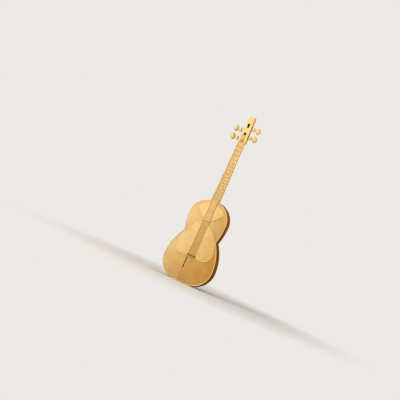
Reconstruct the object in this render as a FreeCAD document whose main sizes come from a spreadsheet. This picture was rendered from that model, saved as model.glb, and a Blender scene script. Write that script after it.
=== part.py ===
"""Persian tar: a long-necked lute with a double bowl, two skins and four tuning pegs.

Millimetres. The tar stands upright: +Z runs up the neck, -Y is the front and +X is the player's
left as seen from the front. The origin is on the flat of the tail, on the axis of the bowls.
"""

import FreeCAD, Part
import math
import os
import re
from collections import namedtuple

import Sketcher

Vector = FreeCAD.Vector
Rotation = FreeCAD.Rotation

# Driving dimensions. Heights are measured up from the tail, and fronts from the axis of the bowls.
SIZES = [
    ("large_flat", 36.0, "half width of the flat at the tail"),
    ("large_corner", 100.0, "radius of the large bowl's lower corners"),
    ("waist_half", 89.5, "half width of the waist between the bowls"),
    ("waist_high", 248.7, "height of the waist"),
    ("waist_lap", 12.0, "height by which each bowl runs on past the waist into the other"),
    ("small_rise", 93.3, "height of the small bowl's widest place over the waist"),
    ("small_flat", 5.0, "half width of the flat on top of the small bowl"),
    ("small_shoulder", 98.0, "radius of the small bowl's shoulders"),
    ("bowl_straight", 40.0, "depth of the straight wall behind the face"),
    ("bowl_wall", 6.0, "wall of the bowls"),
    ("board_thick", 4.0, "thickness of the face board"),
    ("board_bevel", 1.2, "bevel of the face board's edge"),
    ("glue_gap", 0.1, "clearance of a glued joint"),
    ("skin_thick", 1.2, "thickness of the skins with their glue"),
    ("skin_bevel", 0.5, "bevel of the skins' edge"),
    ("skin_ledge", 5.0, "width of the glued edge of the skins"),
    ("heart_margin", 34.0, "wood left beside the heart-shaped skin at its widest"),
    ("heart_widest", 178.0, "height of the heart's widest place"),
    ("heart_corner", 43.0, "radius of the heart's lower corners"),
    ("drop_depth", 15.0, "depth of the small skin's point below the bowl's widest place"),
    ("skins_apart", 5.0, "gap between the points of the two skins"),
    ("drop_margin", 14.0, "wood left outside the small skin at the shoulders"),
    ("drop_corner_up", 50.0, "height of the small skin's side corners over the bowl's widest place"),
    ("drop_side_bulge", 9.0, "bulge of the small skin's lower sides"),
    ("drop_corner", 12.0, "rounding of the small skin's side corners"),
    ("slit_across", 17.0, "distance of the face slit from the middle"),
    ("slit_wide", 5.5, "width of the face slit"),
    ("slit_low", 72.0, "height of the slit's lower end"),
    ("slit_high", 131.0, "height of the slit's upper end"),
    ("seam_wide", 1.2, "width of the fine groove below the slit"),
    ("seam_deep", 0.7, "depth of that groove"),
    ("seam_low", 16.0, "height of the groove's lower end"),
    ("neck_heel_half", 23.2, "half width of the neck at the body"),
    ("neck_nut_half", 18.0, "half width of the neck at the nut"),
    ("neck_side", 6.0, "height of the neck's straight sides below the face"),
    ("neck_long", 321.0, "length of the neck from the body to where the strings leave the nut"),
    ("nut_wide", 4.0, "thickness of the nut along the neck"),
    ("nut_high", 7.2, "height of the nut over the neck"),
    ("tenon_half", 11.0, "half width of the neck's tenon"),
    ("tenon_front", 35.0, "front of the neck's tenon"),
    ("tenon_deep", 14.0, "thickness of the neck's tenon"),
    ("tenon_long", 26.0, "length of the neck's tenon in the body"),
    ("block_half", 30.0, "half width of the inner blocks"),
    ("block_back", 4.0, "depth left free behind the inner blocks"),
    ("neck_block_long", 42.0, "height of the neck block below the top of the body"),
    ("tail_block_long", 28.0, "height of the tail block"),
    ("finger_thick", 5.0, "thickness of the fingerboard"),
    ("finger_nut_half", 12.0, "half width of the fingerboard at the nut"),
    ("finger_end_half", 16.5, "half width of the fingerboard at its lower end"),
    ("finger_end_up", 5.0, "height of the fingerboard's lower end over the small skin's point"),
    ("finger_groove", 0.6, "groove between the fingerboard and the bone strips"),
    ("finger_step_gap", 1.0, "gap between the small skin's top and the fingerboard's step"),
    ("bone_start", 2.0, "height of the bone strips' lower end over the body"),
    ("bone_round", 1.5, "rounding of the bone strips' outer edge"),
    ("tongue_thick", 1.5, "thickness of the strip over the heart"),
    ("tongue_top_half", 17.0, "half width of that strip at the fingerboard"),
    ("tongue_low_half", 18.0, "half width of that strip at the bridge"),
    ("fret_wide", 2.4, "width of a tied fret"),
    ("fret_thick", 0.8, "thickness of a tied fret"),
    ("fret_gap", 0.08, "clearance of the frets round the neck"),
    ("fret_octave", 17.0, "frets in one octave"),
    ("bridge_up", 8.0, "height of the strings' crossing of the bridge over the heart's lower edge"),
    ("bridge_wide", 4.0, "thickness of the bridge along the strings"),
    ("bridge_high", 11.0, "height of the bridge over the skin"),
    ("bridge_foot_half", 25.0, "half length of the bridge at its feet"),
    ("bridge_top_half", 17.0, "half length of the bridge at its top"),
    ("bridge_foot_long", 8.0, "length of each foot of the bridge"),
    ("bridge_arch", 3.5, "height of the arch between the feet"),
    ("string_radius", 0.25, "radius of the strings"),
    ("string_seat", 0.1, "clearance of a string in its notch"),
    ("string_notch", 0.7, "depth of the notches in the nut and bridge"),
    ("notch_wide", 0.8, "width of those notches"),
    ("nut_pitch", 5.0, "distance between strings at the nut"),
    ("bridge_pitch", 8.0, "distance between strings at the bridge and the tail"),
    ("tail_half", 30.0, "half width of the tailpiece's plate"),
    ("tail_back", 24.0, "reach of that plate behind the axis of the bowls"),
    ("tail_thick", 3.0, "thickness of that plate"),
    ("lip_half", 22.0, "half width of the tailpiece's front lip"),
    ("lip_thick", 4.0, "thickness of the lip"),
    ("lip_high", 14.0, "height of the lip"),
    ("pin_radius", 1.1, "radius of the tail pins"),
    ("pin_up", 9.0, "height of the tail pins"),
    ("pin_out", 4.5, "length of the tail pins in front of the lip"),
    ("pin_in", 3.0, "length of the tail pins in the lip"),
    ("head_long", 139.0, "length of the head above the nut"),
    ("head_front", 46.0, "front of the head"),
    ("head_back", 12.0, "back of the head"),
    ("head_face_thick", 2.5, "thickness of the head's front plate"),
    ("head_flare_half", 21.3, "half width of the head's flared foot"),
    ("head_foot_half", 19.8, "half width of the head above the flare"),
    ("head_top_half", 16.6, "half width of the head at its top"),
    ("head_flare_high", 11.0, "height of the flare"),
    ("head_corner", 5.0, "radius of the head's upper corners"),
    ("head_slope", 40.0, "height over which the head's back slopes up from the neck"),
    ("head_back_round", 5.0, "rounding of the head's back edges"),
    ("head_tenon_half", 8.0, "half width of the head's tenon"),
    ("head_tenon_long", 18.0, "length of the head's tenon in the neck"),
    ("head_tenon_front", 38.0, "front of the head's tenon"),
    ("head_tenon_deep", 10.0, "thickness of the head's tenon"),
    ("cavity_half", 10.0, "half width of the head's hollow"),
    ("cavity_foot", 5.0, "wood between the nut and the head's hollow"),
    ("cavity_roof", 32.0, "wood between the hollow and the top of the head"),
    ("cavity_floor", 24.5, "front of the hollow's floor"),
    ("slot_half", 5.8, "half width of the slots in the head"),
    ("low_slot_up", 39.0, "height of the lower slot over the nut"),
    ("low_slot_long", 15.0, "length of the lower slot"),
    ("slot_apart", 24.0, "wood between the two slots"),
    ("high_slot_long", 23.5, "length of the upper slot"),
    ("string_slit_wide", 1.6, "width of the string slits in the head"),
    ("string_slit_up", 4.0, "height of the string slits' lower end over the nut"),
    ("peg_first_up", 15.5, "height of the lowest peg over the nut"),
    ("peg_pitch", 22.0, "distance between pegs"),
    ("peg_front", 33.0, "front of the pegs' axes"),
    ("peg_gap", 0.05, "running clearance of a peg in its holes"),
    ("peg_tip", 20.5, "reach of a peg past the middle of the head"),
    ("peg_tip_radius", 4.0, "radius of a peg at its tip"),
    ("peg_shaft_radius", 5.0, "radius of a peg at its collar"),
    ("peg_collar_at", 28.0, "distance of the collar from the middle of the head"),
    ("peg_collar_wide", 8.0, "width of the collar"),
    ("peg_collar_radius", 11.0, "radius of the collar"),
    ("peg_collar_side", 1.0, "width of the slope at each side of the collar"),
    ("peg_neck_radius", 4.4, "radius of the peg between collar and knob"),
    ("peg_knob_at", 56.0, "distance of the knob's middle from the middle of the head"),
    ("peg_knob_half", 12.5, "half thickness of the knob"),
    ("peg_knob_radius", 17.5, "radius of the knob"),
    ("peg_knob_rim", 6.0, "radius of the rounding round the knob's rim"),
    ("winding_radius", 5.6, "radius over the string wound on a peg"),
    ("winding_half", 2.2, "half width of that winding"),
    ("winding_gap", 0.3, "clearance between a winding and its string"),
]

STRING_COUNT = 4

# Places that several sub-parts share, written with the names above.
FACE = "(bowl_straight + board_thick)"
SKIN = "(bowl_straight + board_thick + skin_thick)"
FINGER = "(bowl_straight + board_thick + finger_thick)"
SMALL_WIDEST = "(waist_high + small_rise)"
BODY_TOP = f"({SMALL_WIDEST} + small_shoulder)"
NUT_REST = f"({BODY_TOP} + neck_long)"
HEAD_TOP = f"({NUT_REST} + head_long)"
LARGE_HALF = "(large_flat + large_corner)"
SMALL_HALF = "(small_flat + small_shoulder)"
LARGE_CLOSE = "(waist_high + waist_lap)"
SMALL_CLOSE = "(waist_high - waist_lap)"
HEART_HALF = f"({LARGE_HALF} - heart_margin)"
HEART_BOTTOM = "(heart_widest - heart_corner)"
DROP_TIP = f"({SMALL_WIDEST} - drop_depth)"
HEART_TIP = f"({DROP_TIP} - skins_apart)"
DROP_TOP = f"({BODY_TOP} - drop_margin)"
FINGER_END = f"({DROP_TIP} + finger_end_up)"
BRIDGE_REST = f"({HEART_BOTTOM} + bridge_up)"
LOW_SLOT = (f"({NUT_REST} + low_slot_up)", f"({NUT_REST} + low_slot_up + low_slot_long)")
HIGH_SLOT = (f"({LOW_SLOT[1]} + slot_apart)", f"({LOW_SLOT[1]} + slot_apart + high_slot_long)")
FINGER_STEP = f"({DROP_TOP} + finger_step_gap)"
BONE_LOW = f"({BODY_TOP} + bone_start)"
NUT_FOOT = f"({NUT_REST} - nut_wide)"
TROUGH_FRONT = "(head_front - head_face_thick)"
NOTCH_FLOOR_RISE = "(string_notch - string_radius - string_seat)"
NUT_STRING = f"({FACE} + nut_high - {NOTCH_FLOOR_RISE})"
BRIDGE_STRING = f"({SKIN} + bridge_high - {NOTCH_FLOOR_RISE})"
PEG_TAPER = "((peg_shaft_radius - peg_tip_radius) / (peg_collar_at + peg_tip))"

Corner = namedtuple("Corner", "across up radius turn", defaults=(None, 1))

doc = FreeCAD.newDocument("Tar")


# Sheet and expressions

def make_sheet():
    """Spreadsheet of the driving dimensions, one row each: name, value, meaning."""
    sheet = doc.addObject("Spreadsheet::Sheet", "Sizes")
    for row, (alias, value, meaning) in enumerate(SIZES, start=1):
        sheet.set(f"A{row}", alias)
        sheet.set(f"B{row}", str(value))
        sheet.set(f"C{row}", meaning)
        sheet.setAlias(f"B{row}", alias)
    doc.recompute()
    return sheet


SHEET = make_sheet()


def bound(text):
    """Expression in which each size's name points at its cell."""
    return re.sub(r"\b[a-z]+(?:_[a-z]+)+\b", lambda name: "Sizes." + name.group(0), text)


def value(text):
    """Number that an expression of sizes gives."""
    return float(SHEET.evalExpression(bound(text)))


def bind(target, path, text):
    """Tie a property to an expression of sizes."""
    target.setExpression(path, bound(text))


def negative(text):
    """The same expression with its sign changed."""
    return "0" if text == "0" else f"-({text})"


# Sketches

def arc_between(start, end, radius, turn):
    """Minor arc from start to end, its centre on the left if turn is 1, else on the right."""
    chord = end - start
    rise = math.sqrt(max(radius ** 2 - (chord.Length / 2) ** 2, 0.0))
    left = Vector(-chord.y, chord.x, 0).normalize()
    centre = (start + end) / 2 + left * rise * turn
    first, last = (start, end) if turn > 0 else (end, start)
    first_angle = math.atan2(first.y - centre.y, first.x - centre.x)
    last_angle = math.atan2(last.y - centre.y, last.x - centre.x)
    return Part.ArcOfCircle(Part.Circle(centre, Vector(0, 0, 1), radius), first_angle, last_angle)


def pin_corner(sketch, geometry, end, corner):
    """Hold one corner of an outline at its two expressions."""
    for kind, text, axis in (("DistanceX", corner.across, -2), ("DistanceY", corner.up, -1)):
        if text == "0":
            sketch.addConstraint(Sketcher.Constraint("PointOnObject", geometry, end, axis))
            continue
        index = sketch.addConstraint(Sketcher.Constraint(kind, -1, 1, geometry, end, value(text)))
        bind(sketch, f"Constraints[{index}]", text)


def draw(sketch, corners):
    """Closed anticlockwise outline of lines and arcs, held at the expressions of its corners."""
    points = [Vector(value(corner.across), value(corner.up), 0) for corner in corners]
    ends = []
    for index, corner in enumerate(corners):
        start, end = points[index], points[(index + 1) % len(points)]
        if corner.radius is None:
            geometry = sketch.addGeometry(Part.LineSegment(start, end))
            ends.append((geometry, 1, 2))
            continue
        curve = arc_between(start, end, value(corner.radius), corner.turn)
        geometry = sketch.addGeometry(curve)
        ends.append((geometry, 1, 2) if corner.turn > 0 else (geometry, 2, 1))
        held = sketch.addConstraint(Sketcher.Constraint("Radius", geometry, value(corner.radius)))
        bind(sketch, f"Constraints[{held}]", corner.radius)
    for index, corner in enumerate(corners):
        geometry, start_end, _ = ends[index]
        previous, _, last_end = ends[index - 1]
        sketch.addConstraint(Sketcher.Constraint("Coincident", previous, last_end, geometry, start_end))
        pin_corner(sketch, geometry, start_end, corner)


def sketch_on(body, name, plane, corners, offset="0"):
    """Sketch of an outline on one of the body's own planes, moved along the plane's normal."""
    sketch = body.newObject("Sketcher::SketchObject", name)
    support = [item for item in body.Origin.OriginFeatures if item.Role == plane][0]
    sketch.AttachmentSupport = [(support, "")]
    sketch.MapMode = "FlatFace"
    if offset != "0":
        bind(sketch, "AttachmentOffset.Base.z", offset)
    draw(sketch, corners)
    return sketch


# Features

def new_body(label):
    """Empty body for one piece."""
    body = doc.addObject("PartDesign::Body", label)
    body.Label = label
    return body


def pad(body, name, corners, length, plane="XZ_Plane", offset="0"):
    """Pad an outline along its plane's normal, which is -Y for the XZ plane."""
    feature = body.newObject("PartDesign::Pad", name)
    feature.Profile = sketch_on(body, name + "_sketch", plane, corners, offset)
    bind(feature, "Length", length)
    return feature


def pocket(body, name, corners, length, plane="XZ_Plane", offset="0"):
    """Cut an outline against its plane's normal, which is towards +Y for the XZ plane."""
    feature = body.newObject("PartDesign::Pocket", name)
    feature.Profile = sketch_on(body, name + "_sketch", plane, corners, offset)
    bind(feature, "Length", length)
    return feature


def revolve(body, name, corners, angle, reverse=False, axis="V_Axis"):
    """Revolve an outline of the XZ plane about one of its axes."""
    sketch = sketch_on(body, name + "_sketch", "XZ_Plane", corners)
    feature = body.newObject("PartDesign::Revolution", name)
    feature.Profile = sketch
    feature.ReferenceAxis = (sketch, [axis])
    feature.Angle = angle
    feature.Reversed = reverse
    return feature


def box(body, name, across, front, up, cut=False):
    """Box between two limits in X, in fronts (-Y) and in Z; each limit is an expression."""
    kind = "PartDesign::SubtractiveBox" if cut else "PartDesign::AdditiveBox"
    feature = body.newObject(kind, name)
    bind(feature, "Placement.Base.x", across[0])
    bind(feature, "Placement.Base.y", negative(front[1]))
    bind(feature, "Placement.Base.z", up[0])
    bind(feature, "Length", f"({across[1]}) - ({across[0]})")
    bind(feature, "Width", f"({front[1]}) - ({front[0]})")
    bind(feature, "Height", f"({up[1]}) - ({up[0]})")
    return feature


def dress_edges(body, kind, name, base, size, wanted):
    """Fillet or chamfer the edges of the base feature that the test picks."""
    doc.recompute()
    names = [f"Edge{index}" for index, edge in enumerate(base.Shape.Edges, start=1) if wanted(edge)]
    feature = body.newObject("PartDesign::" + kind, name)
    feature.Base = (base, names)
    bind(feature, "Radius" if kind == "Fillet" else "Size", size)
    return feature


def round_edges(body, name, base, radius, wanted):
    """Fillet the edges of the base feature that the test picks."""
    return dress_edges(body, "Fillet", name, base, radius, wanted)


def bevel_edges(body, name, base, size, wanted):
    """Chamfer the edges of the base feature that the test picks."""
    return dress_edges(body, "Chamfer", name, base, size, wanted)


def at_front(edge, front):
    """True if an edge lies in the plane at this front."""
    return all(abs(vertex.Y + value(front)) < 0.01 for vertex in edge.Vertexes)


# Outlines, as runs of corners from the bottom of the middle line up its right side

def both_sides(run):
    """Whole outline from a run that leaves out the middle line."""
    return run + mirrored(run)


def mirrored(run):
    """The same run on the left, taken downwards so that the outline stays anticlockwise."""
    flipped = []
    for index in reversed(range(len(run))):
        radius, turn = (run[index - 1].radius, run[index - 1].turn) if index else (None, 1)
        flipped.append(Corner(negative(run[index].across), run[index].up, radius, turn))
    return flipped


def flank(half, widest):
    """Radius of the flank that leaves a bowl's widest place upright and meets the waist."""
    rise = f"(waist_high - {widest})"
    step = f"({half} - waist_half)"
    return f"(({rise}^2 + {step}^2) / (2 * {step}))"


LARGE_FLANK = flank(LARGE_HALF, "large_corner")
SMALL_FLANK = flank(SMALL_HALF, SMALL_WIDEST)


def large_run():
    """Side of the large bowl's plan: round lower corner, then the flank past the waist."""
    close = f"{LARGE_HALF} - {LARGE_FLANK} + sqrt({LARGE_FLANK}^2 - ({LARGE_CLOSE} - large_corner)^2)"
    return [
        Corner("large_flat", "0", "large_corner"),
        Corner(LARGE_HALF, "large_corner", LARGE_FLANK),
        Corner(close, LARGE_CLOSE),
    ]


def small_run():
    """Side of the small bowl's plan: flank from past the waist, then the round shoulder."""
    close = f"{SMALL_HALF} - {SMALL_FLANK} + sqrt({SMALL_FLANK}^2 - ({SMALL_WIDEST} - {SMALL_CLOSE})^2)"
    return [
        Corner(close, SMALL_CLOSE, SMALL_FLANK),
        Corner(SMALL_HALF, SMALL_WIDEST, "small_shoulder"),
        Corner("small_flat", BODY_TOP),
    ]


def gouged(middle, radius, first, last, strokes):
    """Arc cut as straight gouge strokes: its corners from the first angle up to the last."""
    angles = [f"({first} + ({last} - {first}) * {stroke} / {strokes})" for stroke in range(strokes + 1)]
    return [
        Corner(f"{middle[0]} + {radius} * cos({angle})", f"{middle[1]} + {radius} * sin({angle})")
        for angle in angles
    ]


def large_hollow():
    """Side of the hollow in the large bowl, one wall inside its plan."""
    reach = f"({LARGE_FLANK} - bowl_wall)"
    corner = gouged(
        ("large_flat", "large_corner"), "(large_corner - bowl_wall)", "-90 deg", "0 deg", 3
    )
    side = gouged(
        (f"{LARGE_HALF} - {LARGE_FLANK}", "large_corner"), reach,
        "0 deg", f"asin(({LARGE_CLOSE} - large_corner) / {reach})", 2,
    )
    return corner + side[1:]


def small_hollow():
    """Side of the hollow in the small bowl, one wall inside its plan."""
    reach = f"({SMALL_FLANK} - bowl_wall)"
    side = gouged(
        (f"{SMALL_HALF} - {SMALL_FLANK}", SMALL_WIDEST), reach,
        f"-asin(({SMALL_WIDEST} - {SMALL_CLOSE}) / {reach})", "0 deg", 1,
    )
    shoulder = gouged(
        ("small_flat", SMALL_WIDEST), "(small_shoulder - bowl_wall)", "0 deg", "90 deg", 3
    )
    return side[:-1] + shoulder


def half_outline(run, side):
    """A run closed along the middle line, on the right for side 1 and on the left for -1."""
    closed = [Corner("0", run[0].up)] + run[:-1]
    closed += [Corner(run[-1].across, run[-1].up), Corner("0", run[-1].up)]
    return closed if side > 0 else mirrored(closed)


def heart_run(inset="0"):
    """Side of the heart: flat foot, round lower corner and one long arc up to the point."""
    side = f"(({HEART_HALF}^2 + ({HEART_TIP} - heart_widest)^2) / (2 * {HEART_HALF}))"
    point = (
        f"heart_widest + sqrt(({side} - {inset})^2 - ({side} - {HEART_HALF})^2)"
    )
    return [
        Corner(f"{HEART_HALF} - heart_corner", f"{HEART_BOTTOM} + {inset}", f"heart_corner - {inset}"),
        Corner(f"{HEART_HALF} - {inset}", "heart_widest", f"{side} - {inset}"),
        Corner("0", point),
    ]


def heart_outline(inset="0"):
    """Whole heart, whose point is one corner on the middle line."""
    run = heart_run(inset)
    left = mirrored(run)
    return run[:-1] + [Corner("0", run[-1].up, left[0].radius)] + left[1:]


def drop_outline(inset="0"):
    """Small skin: a drop with its point down, and shoulders parallel to the small bowl's."""
    shoulder = f"(small_shoulder - drop_margin - {inset})"
    across = f"(small_flat + sqrt({shoulder}^2 - drop_corner_up^2))"
    tip = f"({DROP_TIP} + 1.5 * {inset})"
    chord = f"({across}^2 + ({SMALL_WIDEST} + drop_corner_up - {tip})^2)"
    run = [
        Corner("0", tip, f"({chord} / (8 * drop_side_bulge) + drop_side_bulge / 2)"),
        Corner(across, f"{SMALL_WIDEST} + drop_corner_up", shoulder),
        Corner("small_flat", f"{SMALL_WIDEST} + {shoulder}"),
    ]
    left = mirrored(run)
    return run + left[:-1]


def taper(low, low_half, high, high_half, up):
    """Half width at a height, on a straight taper between two heights."""
    return f"({low_half} + ({high_half} - {low_half}) * ({up} - {low}) / ({high} - {low}))"


def neck_half(up):
    """Half width of the neck at a height."""
    return taper(BODY_TOP, "neck_heel_half", NUT_REST, "neck_nut_half", up)


def finger_half(up):
    """Half width of the fingerboard at a height."""
    return taper(FINGER_END, "finger_end_half", NUT_REST, "finger_nut_half", up)


def strip(low, low_half, high, high_half):
    """Tapered strip about the middle line."""
    return [
        Corner(negative(low_half), low),
        Corner(low_half, low),
        Corner(high_half, high),
        Corner(negative(high_half), high),
    ]


# Resonator

def make_hollow():
    """Space inside the two bowls, which shapes their walls and the blocks glued in them."""
    body = new_body("hollow")
    for name, run in (("large", large_hollow()), ("small", small_hollow())):
        pad(body, f"hollow_{name}_front", both_sides(run), "bowl_straight")
        revolve(body, f"hollow_{name}_back", half_outline(run, 1), 180)
    return body


def make_bowl_half(label, side, hollow):
    """One carved half of the double bowl: quarter turns behind, straight walls in front."""
    blank = new_body(label + "_blank")
    for name, run in (("large", large_run()), ("small", small_run())):
        outline = half_outline(run, side)
        pad(blank, f"{label}_{name}_front", outline, "bowl_straight")
        revolve(blank, f"{label}_{name}_back", outline, 90, reverse=side < 0)
    cut_tail_seat(blank, label)
    box(
        blank, label + "_mortise",
        ("-tenon_half - glue_gap", "tenon_half + glue_gap"),
        ("tenon_front - tenon_deep - glue_gap", "tenon_front + glue_gap"),
        (f"{BODY_TOP} - tenon_long - glue_gap", f"{BODY_TOP} + bowl_wall"),
        cut=True,
    )
    half = doc.addObject("Part::Cut", label)
    half.Base = blank
    half.Tool = hollow
    return half


def cut_tail_seat(body, label):
    """Recess in the tail for the tailpiece's plate."""
    box(
        body, label + "_tail_seat",
        ("-tail_half - glue_gap", "tail_half + glue_gap"),
        ("-tail_back - glue_gap", f"{FACE} + glue_gap"),
        ("-tail_thick", "tail_thick + glue_gap"),
        cut=True,
    )


def make_face_board():
    """Flat front of the body, with two skin openings, a slit and a fine groove."""
    body = new_body("face_board")
    for name, run in (("large", large_run()), ("small", small_run())):
        outline = both_sides(run)
        pad(body, f"board_{name}", outline, "board_thick - board_bevel", offset="bowl_straight")
        rim = pad(body, f"board_{name}_rim", outline, "board_bevel", offset=f"({FACE} - board_bevel)")
        rim.TaperAngle = -45
    for name, outline in (("heart", heart_outline("skin_ledge")), ("drop", drop_outline("skin_ledge"))):
        pocket(body, f"board_{name}_opening", outline, "board_thick", offset=FACE)
    box(
        body, "board_slit",
        ("-slit_across - slit_wide / 2", "-slit_across + slit_wide / 2"),
        ("bowl_straight", FACE), ("slit_low", "slit_high"), cut=True,
    )
    box(
        body, "board_groove",
        ("-slit_across - seam_wide / 2", "-slit_across + seam_wide / 2"),
        (f"{FACE} - seam_deep", FACE), ("seam_low", "slit_low"), cut=True,
    )
    cut_tail_seat(body, "board")
    return body


def make_large_skin():
    """Heart-shaped skin glued on the face board, with a bevelled edge."""
    body = new_body("large_skin")
    sheet = pad(body, "large_skin_sheet", heart_outline(), "skin_thick", offset=FACE)
    bevel_edges(body, "large_skin_edge", sheet, "skin_bevel", lambda edge: at_front(edge, SKIN))
    return body


def make_small_skin():
    """Drop-shaped skin of the small bowl, with round side corners and a bevelled edge."""
    body = new_body("small_skin")
    sheet = pad(body, "small_skin_sheet", drop_outline(), "skin_thick", offset=FACE)
    corner_up = value(f"{SMALL_WIDEST} + drop_corner_up")

    def side_corner(edge):
        """True for the two short edges through the skin at its side corners."""
        level = all(abs(vertex.Z - corner_up) < 0.01 for vertex in edge.Vertexes)
        return level and edge.Vertexes[0].Y != edge.Vertexes[-1].Y

    rounded = round_edges(body, "small_skin_corner", sheet, "drop_corner", side_corner)
    bevel_edges(body, "small_skin_edge", rounded, "skin_bevel", lambda edge: at_front(edge, SKIN))
    return body


def fitted_block(label, up, hollow):
    """Block glued between the bowl halves behind the face board."""
    blank = doc.addObject("Part::Box", label + "_blank")
    bind(blank, "Placement.Base.x", "-block_half")
    bind(blank, "Placement.Base.y", "-bowl_straight")
    bind(blank, "Placement.Base.z", up[0])
    bind(blank, "Length", "2 * block_half")
    bind(blank, "Width", "bowl_straight - block_back")
    bind(blank, "Height", f"({up[1]}) - ({up[0]})")
    block = doc.addObject("Part::Common", label)
    block.Base = blank
    block.Tool = hollow
    return block


def make_neck_block(hollow):
    """Block under the crown of the small bowl, with the mortise for the neck's tenon."""
    solid = fitted_block("neck_block_solid", (f"{BODY_TOP} - neck_block_long", BODY_TOP), hollow)
    mortise = doc.addObject("Part::Box", "neck_block_mortise")
    bind(mortise, "Placement.Base.x", "-tenon_half - glue_gap")
    bind(mortise, "Placement.Base.y", "-tenon_front - glue_gap")
    bind(mortise, "Placement.Base.z", f"{BODY_TOP} - tenon_long - glue_gap")
    bind(mortise, "Length", "2 * tenon_half + 2 * glue_gap")
    bind(mortise, "Width", "tenon_deep + 2 * glue_gap")
    bind(mortise, "Height", "tenon_long")
    block = doc.addObject("Part::Cut", "neck_block")
    block.Base = solid
    block.Tool = mortise
    return block


# Neck and fingerboard

def neck_section(up):
    """U section of the neck: flat front, straight sides and a round back."""
    half = neck_half(up)
    side = f"-({FACE} - neck_side)"
    return [
        Corner(negative(half), f"-{FACE}"),
        Corner(half, f"-{FACE}"),
        Corner(half, side, half),
        Corner("0", f"{side} + {half}", half),
        Corner(negative(half), side),
    ]


def make_neck():
    """Tapered neck, hollowed at its foot to sit on the small bowl, with a tenon below it."""
    body = new_body("neck")
    low = f"({BODY_TOP} - bowl_wall)"
    foot = sketch_on(body, "neck_foot", "XY_Plane", neck_section(low), offset=low)
    top = sketch_on(body, "neck_top", "XY_Plane", neck_section(NUT_REST), offset=NUT_REST)
    loft = body.newObject("PartDesign::AdditiveLoft", "neck_loft")
    loft.Profile = foot
    loft.Sections = [top]
    loft.Ruled = True
    shoulder = small_run()[1:]
    pocket(body, "neck_saddle", both_sides(shoulder), FACE, offset=FACE)
    box(
        body, "neck_tenon", ("-tenon_half", "tenon_half"),
        ("tenon_front - tenon_deep", "tenon_front"),
        (f"{BODY_TOP} - tenon_long", f"{BODY_TOP} + bowl_wall"),
    )
    box(
        body, "neck_head_mortise",
        ("-head_tenon_half - glue_gap", "head_tenon_half + glue_gap"),
        ("head_tenon_front - head_tenon_deep - glue_gap", "head_tenon_front + glue_gap"),
        (f"{NUT_REST} - head_tenon_long - glue_gap", f"{NUT_REST} + glue_gap"),
        cut=True,
    )
    return body


def make_fingerboard():
    """Middle strip, thinner where it passes over the small skin."""
    body = new_body("fingerboard")
    upper = strip(FINGER_STEP, finger_half(FINGER_STEP), NUT_FOOT, finger_half(NUT_FOOT))
    lower = strip(FINGER_END, "finger_end_half", FINGER_STEP, finger_half(FINGER_STEP))
    pad(body, "fingerboard_neck", upper, "finger_thick", offset=FACE)
    pad(body, "fingerboard_body", lower, "finger_thick - skin_thick", offset=SKIN)
    return body


def make_bone_strip(label, side):
    """Edge strip between the fingerboard and the neck's edge."""
    inner_low = f"{finger_half(BONE_LOW)} + finger_groove"
    inner_high = f"{finger_half(NUT_FOOT)} + finger_groove"
    outline = [
        Corner(inner_low, BONE_LOW),
        Corner(neck_half(BONE_LOW), BONE_LOW),
        Corner(neck_half(NUT_FOOT), NUT_FOOT),
        Corner(inner_high, NUT_FOOT),
    ]
    body = new_body(label)
    bar = pad(
        body, label + "_bar", outline if side > 0 else mirrored(outline), "finger_thick", offset=FACE
    )
    reach = value("neck_nut_half") - 1.0
    long_side = value(f"{NUT_REST} - {BONE_LOW}") / 2

    def outer_edge(edge):
        """True for the long front edge on the neck's side."""
        outside = all(abs(vertex.X) > reach for vertex in edge.Vertexes)
        return outside and edge.Length > long_side and at_front(edge, FINGER)

    round_edges(body, label + "_edge", bar, "bone_round", outer_edge)
    return body


def make_tongue():
    """Thin strip that carries the fingerboard's line over the heart, down to the bridge."""
    body = new_body("fingerboard_tongue")
    low = f"{BRIDGE_REST} + bridge_wide / 2 + glue_gap"
    outline = strip(low, "tongue_low_half", f"{FINGER_END} - glue_gap", "tongue_top_half")
    pad(body, "tongue_strip", outline, "tongue_thick", offset=SKIN)
    return body


def notch_row(body, name, pitch, front, up):
    """Row of string notches, one patterned from the first."""
    across = f"-{pitch} * {(STRING_COUNT - 1) / 2}"
    first = box(
        body, name,
        (f"{across} - notch_wide / 2", f"{across} + notch_wide / 2"),
        (f"{front} - string_notch", f"{front} + string_notch"), up, cut=True,
    )
    row = body.newObject("PartDesign::LinearPattern", name + "_row")
    row.Originals = [first]
    row.Direction = ([item for item in body.Origin.OriginFeatures if item.Role == "X_Axis"][0], [""])
    row.Occurrences = STRING_COUNT
    bind(row, "Length", f"{pitch} * {STRING_COUNT - 1}")
    body.Tip = row
    return row


def make_nut():
    """Bone nut on the end of the neck, with a notch for each string."""
    body = new_body("nut")
    front = f"({FACE} + nut_high)"
    bar = box(body, "nut_bar", ("-neck_nut_half", "neck_nut_half"), (FACE, front), (NUT_FOOT, NUT_REST))
    top = value(NUT_FOOT)
    round_edges(
        body, "nut_edge", bar, "nut_wide / 3",
        lambda edge: at_front(edge, front) and all(abs(v.Z - top) < 0.01 for v in edge.Vertexes),
    )
    notch_row(body, "nut_notch", "nut_pitch", front, (f"{NUT_FOOT} - nut_wide", f"{NUT_REST} + nut_wide"))
    return body


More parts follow.
